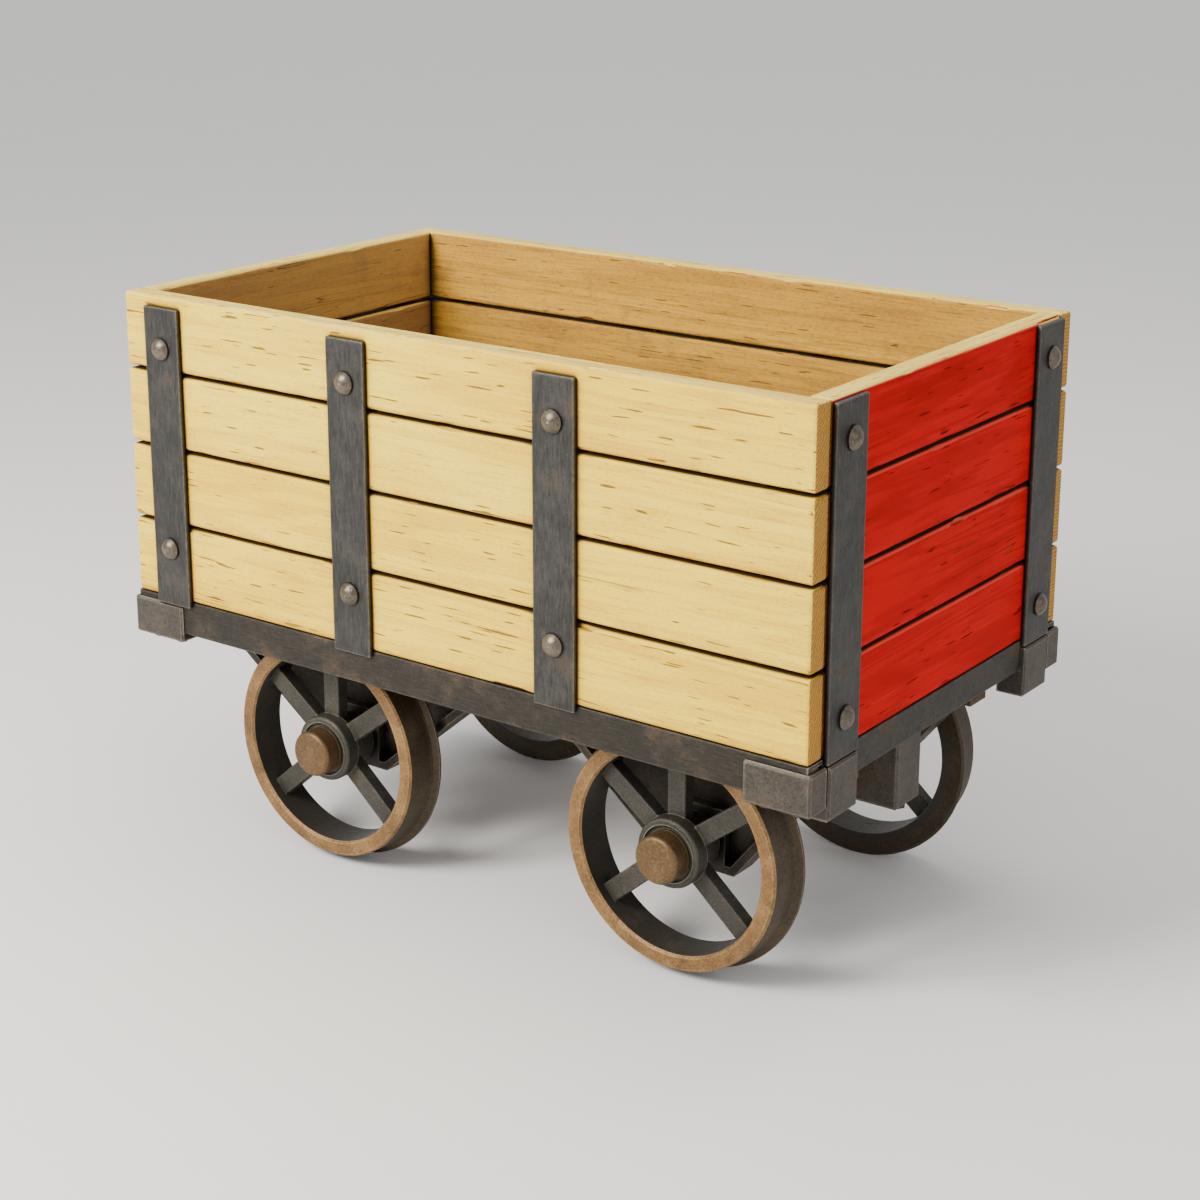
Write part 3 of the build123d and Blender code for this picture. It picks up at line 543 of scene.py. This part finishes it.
def iron_colour(finish, scale, tones, rust_amount, wear, bare=BARE_EDGE):
    """Scaled iron with rust and rubbed corners."""
    main, light, dark = tones
    colour = finish.mix(main, light, finish.ramp(scale.blotch, 0.40, 0.74) * 0.8)
    colour = finish.mix(colour, dark, finish.ramp(scale.draw, 0.50, 0.72) * 0.65)
    colour = finish.mix(colour, light, finish.ramp(scale.draw, 0.48, 0.30) * 0.60)
    colour = finish.mix(colour, dark, finish.ramp(scale.speck, 0.52, 0.74) * 0.60)
    rusty = finish.mix(RUST, RUST_LIGHT, finish.ramp(scale.grit, 0.45, 0.75))
    colour = finish.mix(colour, rusty, scale.rusted(rust_amount) * 0.65)
    return finish.mix(colour, bare, scale.worn(wear) * 0.75)


def iron_finish(name, tones=SLATE, rust=0.45, wear=0.8, coarse=1.0, edge_radius=0.008,
                metal=0.45, rough=0.46, drawn=None):
    """Iron with its scale, rust in blotches, rubbed corners, and oil and painted shade in its gaps
    and corners.
    """
    finish = Finish(name)
    scale = Scale(finish, edge_radius, drawn)
    colour = iron_colour(finish, scale, tones, rust, wear)
    # Painted shade and oil: near-black in crevices and round the foot of bolt heads.
    dirt_and_shade_mask = finish.ramp(finish.shelter(0.030), 0.12, 0.58)
    colour = finish.mix(colour, OIL_AND_SHADE, dirt_and_shade_mask * 0.92)
    rusted = scale.rusted(rust)
    relief = finish.relief(scale.height(1.0, 0.45, 0.18, 0.30), iron_relief * coarse)
    return finish.done(colour, rough + rusted * 0.22 + scale.grit * 0.14, metal - rusted * 0.30,
                       relief, specular=0.4)


def wheel_finish(name, axle):
    """Cast wheel: rusty bronze-brown rim face, dark tread, slate spokes and hub."""
    finish = Finish(name)
    scale = Scale(finish, 0.006)
    away_x = finish.x - axle.x
    away_z = finish.z - axle.z
    radius = (away_x * away_x + away_z * away_z).maths("SQRT")
    outward = finish.y.maths("ABSOLUTE")
    rim_front = hub_face - hub_proud
    slate = iron_colour(finish, scale, SPOKE_IRON, 0.45, 1.15)
    brown = iron_colour(finish, scale, RIM_BRONZE, 0.25, 1.15, BRONZE_EDGE)
    patina = finish.ramp(finish.noise(finish.here, 26.0, detail=4.0, rough=0.6), 0.50, 0.70)
    brown = finish.mix(brown, BRONZE_DARK, patina * 0.40)
    tread = iron_colour(finish, scale, TREAD_IRON, 0.45, 0.8)
    on_rim = finish.ramp(radius, rim_inner - 0.003, rim_inner + 0.001)
    on_face = finish.ramp(outward, rim_front - 0.007, rim_front - 0.003)
    on_tread = finish.ramp(radius, rim_inner + 0.012, rim_inner + 0.020)
    colour = finish.mix(slate, tread, on_tread)
    inner = on_rim * (1.0 - on_tread)
    colour = finish.mix(colour, RIM_INNER_FACE, inner * 0.75)
    colour = finish.mix(colour, brown, on_rim * on_face)
    # Painted shade and oil: near-black where spokes, hub and rim meet.
    dirt_and_shade_mask = finish.ramp(finish.shelter(0.035), 0.22, 0.80)
    colour = finish.mix(colour, OIL_AND_SHADE, dirt_and_shade_mask * 0.92)
    rusted = scale.rusted(0.4)
    rough = 0.48 + rusted * 0.2 + scale.grit * 0.15
    metal = 0.50 - rusted * 0.25
    relief = finish.relief(scale.height(0.8, 0.5, 0.2, 0.35), iron_relief)
    return finish.done(colour, rough, metal, relief)


def bronze_finish(name):
    """Dull brown bronze, brighter where it is rubbed."""
    finish = Finish(name)
    scale = Scale(finish, 0.008)
    colour = iron_colour(finish, scale, CAP_BRONZE, 0.20, 1.25, BRONZE_EDGE)
    # Painted shade and oil: near-black in the recesses of the cap and bush.
    dirt_and_shade_mask = finish.ramp(finish.shelter(0.022), 0.22, 0.8)
    colour = finish.mix(colour, OIL_AND_SHADE, dirt_and_shade_mask * 0.9)
    relief = finish.relief(scale.height(0.6, 0.4, 0.15, 0.2), bronze_relief)
    return finish.done(colour, 0.40 + scale.grit * 0.2, 0.62 - scale.rusted(0.25) * 0.25, relief)


# ---------------------------------------------------------------- wooden pieces
board_slice = 0.009
board_rounding = 0.0065
board_segments = 4
board_margin = board_rounding + 0.004   # a plain strip beside each corner keeps flat faces flat
nick_depth = 0.0060
nick_stretch = 5.0      # how much longer nicks are along the board than across it
ripple_share = 0.25
ripple_scale = 30
nick_scale = 75
nick_start = 0.28
nick_gain = 2.2
crease_angle = math.radians(38)


def link(mesh, name, material):
    """Make an object of the cart's body from a finished bmesh, with its place in its mesh."""
    bmesh.ops.recalc_face_normals(mesh, faces=mesh.faces)
    data = bpy.data.meshes.new(name)
    mesh.to_mesh(data)
    mesh.free()
    piece = bpy.data.objects.new(name, data)
    bpy.context.scene.collection.objects.link(piece)
    data.materials.append(material)
    for face in data.polygons:
        face.use_smooth = True
    data.set_sharp_from_angle(angle=crease_angle)
    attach(piece, CART)
    return piece


def round_corners(mesh, radius, segments):
    """Round every right-angled edge of a bar."""
    corners = [edge for edge in mesh.edges if edge.calc_face_angle() > 1.0]
    bmesh.ops.bevel(mesh, geom=corners, offset=radius, affect="EDGES", segments=segments,
                    profile=0.5, material=-1)


def squared_bar(low, high, along, slice_length, margin):
    """Cuboid between two corners, cut into slices along one axis and near its long edges."""
    mesh = bmesh.new()
    bmesh.ops.create_cube(mesh, size=1)
    size = high - low
    bmesh.ops.scale(mesh, vec=size, verts=mesh.verts)
    bmesh.ops.translate(mesh, vec=(low + high) / 2, verts=mesh.verts)
    axis = AXES[along]
    lengthwise = [edge for edge in mesh.edges
                  if abs((edge.verts[0].co - edge.verts[1].co)[axis]) > 0.9 * size[axis]]
    cuts = max(1, round(size[axis] / slice_length) - 1)
    bmesh.ops.subdivide_edges(mesh, edges=lengthwise, cuts=cuts, use_grid_fill=True)
    for cross in range(3):
        if cross == axis:
            continue
        normal = Vector(1.0 if place == cross else 0.0 for place in range(3))
        for corner, inward in ((low, 1), (high, -1)):
            geometry = mesh.verts[:] + mesh.edges[:] + mesh.faces[:]
            bmesh.ops.bisect_plane(mesh, geom=geometry, plane_co=corner + inward * margin * normal,
                                   plane_no=normal)
    return mesh


def wear_corners(mesh, low, high, along, seed):
    """Push the corners of a board inwards by an uneven amount, with a few deeper nicks."""
    middle = (low + high) / 2
    half = (high - low) / 2
    stretch = [1.0, 1.0, 1.0]
    stretch[AXES[along]] = 1 / nick_stretch
    offset = Vector((seed * 3.17, seed * 1.31, seed * 2.23))
    for vert in mesh.verts:
        away = vert.co - middle
        gaps = sorted(half[axis] - abs(away[axis]) for axis in range(3))
        cornered = max(0.0, 1 - (gaps[0] + gaps[1]) / board_rounding)
        if cornered <= 0:
            continue
        place = Vector(vert.co[axis] * stretch[axis] for axis in range(3)) + offset
        ripple = 0.5 + 0.5 * noise.noise(place * ripple_scale)
        nick = max(0.0, noise.noise(place * nick_scale + offset) - nick_start) * nick_gain
        push = cornered * nick_depth * (ripple_share * ripple + nick)
        for axis in range(3):
            if half[axis] - abs(away[axis]) < board_rounding and axis != AXES[along]:
                vert.co[axis] -= math.copysign(push, away[axis])


def plank(name, low, high, along, material, seed, node):
    """A sawn board with worn, nicked corners that stands for a CAD board."""
    mesh = squared_bar(low, high, along, board_slice, board_margin)
    round_corners(mesh, board_rounding, board_segments)
    wear_corners(mesh, low, high, along, seed)
    piece = link(mesh, name, material)
    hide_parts(node)


def course_levels(index):
    """Lowest and highest z of a wall board."""
    low = deck + index * board_pitch
    return (low if index == 0 else low + board_gap), low + board_pitch


def make_walls(side_material, end_material):
    """All the boards of the box, each with a seed of its own."""
    seed = 1
    for index in range(board_count):
        bottom, top = course_levels(index)
        for side, sign in (("far", 1), ("near", -1)):
            ys = sorted((sign * inner_half_width, sign * half_width))
            low, high = Vector((-half_length, ys[0], bottom)), Vector((half_length, ys[1], top))
            plank(f"side_board_{side}_{index + 1}", low, high, "x", side_material, seed,
                  f"side_boards_{side}")
            seed += 1
        for end, sign in (("front", 1), ("rear", -1)):
            xs = sorted((sign * inner_half_length, sign * half_length))
            low = Vector((xs[0], -inner_half_width, bottom))
            high = Vector((xs[1], inner_half_width, top))
            plank(f"end_board_{end}_{index + 1}", low, high, "y", end_material, seed,
                  f"end_boards_{end}")
            seed += 1


# ---------------------------------------------------------------- forged straps
strap_slice = 0.012
strap_rounding = 0.0030
strap_segments = 2
strap_margin = 0.0045
strap_waviness = 0.0016
waves_across, waves_along = 4, 9


def forged_strap(node, material):
    """Flat bar with hammered, slightly wavy edges that stands for a CAD strap."""
    low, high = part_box(node)
    mesh = squared_bar(low, high, "z", strap_slice, strap_margin)
    round_corners(mesh, strap_rounding, strap_segments)
    seed = sum(ord(letter) for letter in node)
    centre = (low + high) / 2
    size = high - low
    wide = AXES["x"] if size.y < size.x else AXES["y"]
    for vert in mesh.verts:
        place = Vector((seed * 0.37, vert.co[wide] * waves_across, vert.co.z * waves_along))
        wave = 0.5 + 0.5 * noise.noise(place)
        vert.co[wide] -= math.copysign(strap_waviness * wave, vert.co[wide] - centre[wide])
    piece = link(mesh, f"forged_{node}", material)
    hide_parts(node)


# ---------------------------------------------------------------- stage
FLOOR_TONES = (0.84, 0.835, 0.82), (0.87, 0.865, 0.85)
SURROUND = (0.96, 0.955, 0.95, 1)
surround_strength = 0.90
floor_reach = 30
light_aim = Vector((0, 0, 0.6))
# name, place, size, power, tint
LIGHTS = (("key", (-1.8, -4.6, 3.9), 2.4, 570, (1.0, 0.965, 0.91)),
          ("fill", (4.8, -1.6, 2.2), 2.4, 30, (0.95, 0.97, 1.0)),
          ("top", (0.4, 1.4, 5.0), 2.6, 60, (1.0, 0.98, 0.95)))


def make_stage():
    """Pale floor, soft light from the near left and above, and a light fill."""
    mesh = bmesh.new()
    bmesh.ops.create_grid(mesh, x_segments=1, y_segments=1, size=floor_reach)
    data = bpy.data.meshes.new("floor")
    mesh.to_mesh(data)
    mesh.free()
    floor = bpy.data.objects.new("floor", data)
    bpy.context.scene.collection.objects.link(floor)
    finish = Finish("pale_floor")
    tone = finish.noise(finish.here, 3.0, detail=2.0)
    relief = finish.relief(tone, 0.0005)
    data.materials.append(finish.done(finish.mix(*FLOOR_TONES, tone), 0.9, 0.0, relief, 0.2))

    world = bpy.data.worlds.new("studio")
    bpy.context.scene.world = world
    world.use_nodes = True
    background = world.node_tree.nodes["Background"]
    background.inputs["Color"].default_value = SURROUND
    background.inputs["Strength"].default_value = surround_strength

    for name, place, size, power, tint in LIGHTS:
        data = bpy.data.lights.new(name, "AREA")
        data.size = size
        data.energy = power
        data.color = tint
        light = bpy.data.objects.new(name, data)
        light.location = place
        light.rotation_euler = (light_aim - light.location).to_track_quat("-Z", "Y").to_euler()
        bpy.context.scene.collection.objects.link(light)


# ---------------------------------------------------------------- assembly
def paint(node, material):
    """Give a CAD node its finish."""
    holder = frame["nodes"][node]
    for place in holder.material_slots:
        place.material = material


set_camera()
make_stage()

slate_iron = iron_finish("slate_iron", wear=0.95, edge_radius=0.010, drawn="z")
rail_irons = {axis: iron_finish(f"rail_iron_{axis}", RAIL_IRON, rust=0.60, wear=0.95, drawn=axis)
              for axis in "xy"}
block_iron = iron_finish("block_iron", BLOCK_IRON, rust=0.50, wear=1.0, coarse=1.2,
                         edge_radius=0.011)
bracket_iron = iron_finish("bracket_iron", BRACKET_IRON, rust=0.55, wear=0.6, coarse=1.3)
screw_iron = iron_finish("screw_iron", SCREW_IRON, rust=0.35, wear=0.5, coarse=0.5,
                         edge_radius=0.004, metal=0.70, rough=0.30)
dark_steel = iron_finish("dark_steel", rust=0.6, coarse=0.5, edge_radius=0.003)
bronze = bronze_finish("dull_bronze")
tarred_oak = frame_timber_finish()
floor_wood = floor_finish()
dowel_wood = dowel_finish()
side_wood = board_finish("pale_board", "x")
end_wood = board_finish("red_board", "y", red=True)
wheels = {end: wheel_finish(f"cast_wheel_{end}", axle_points[end]) for end in axle_points}

for node in frame["nodes"]:
    if node.startswith(("side_strap_screws", "end_strap_screws")):
        paint(node, screw_iron)
    elif node.startswith("side_rail"):
        paint(node, rail_irons["x"])
    elif node.startswith("end_rail"):
        paint(node, rail_irons["y"])
    elif node.startswith(("corner_shoe", "coupling_block")):
        paint(node, block_iron)
    elif node.startswith("axle_bracket"):
        paint(node, bracket_iron)
    elif node.startswith(("sill", "cross_bearer")):
        paint(node, tarred_oak)
    elif node.startswith(("hub_cap", "wheel_bush")):
        paint(node, bronze)
    elif node.startswith("wheel_"):
        paint(node, wheels["front" if "front" in node else "rear"])
    elif node.endswith("dowels"):
        paint(node, dowel_wood)
    elif node == "floor_planks":
        paint(node, floor_wood)
    else:
        paint(node, dark_steel)

make_walls(side_wood, end_wood)
for node in sorted(frame["nodes"]):
    if "strap_" in node and not node.endswith("screws"):
        forged_strap(node, slate_iron)
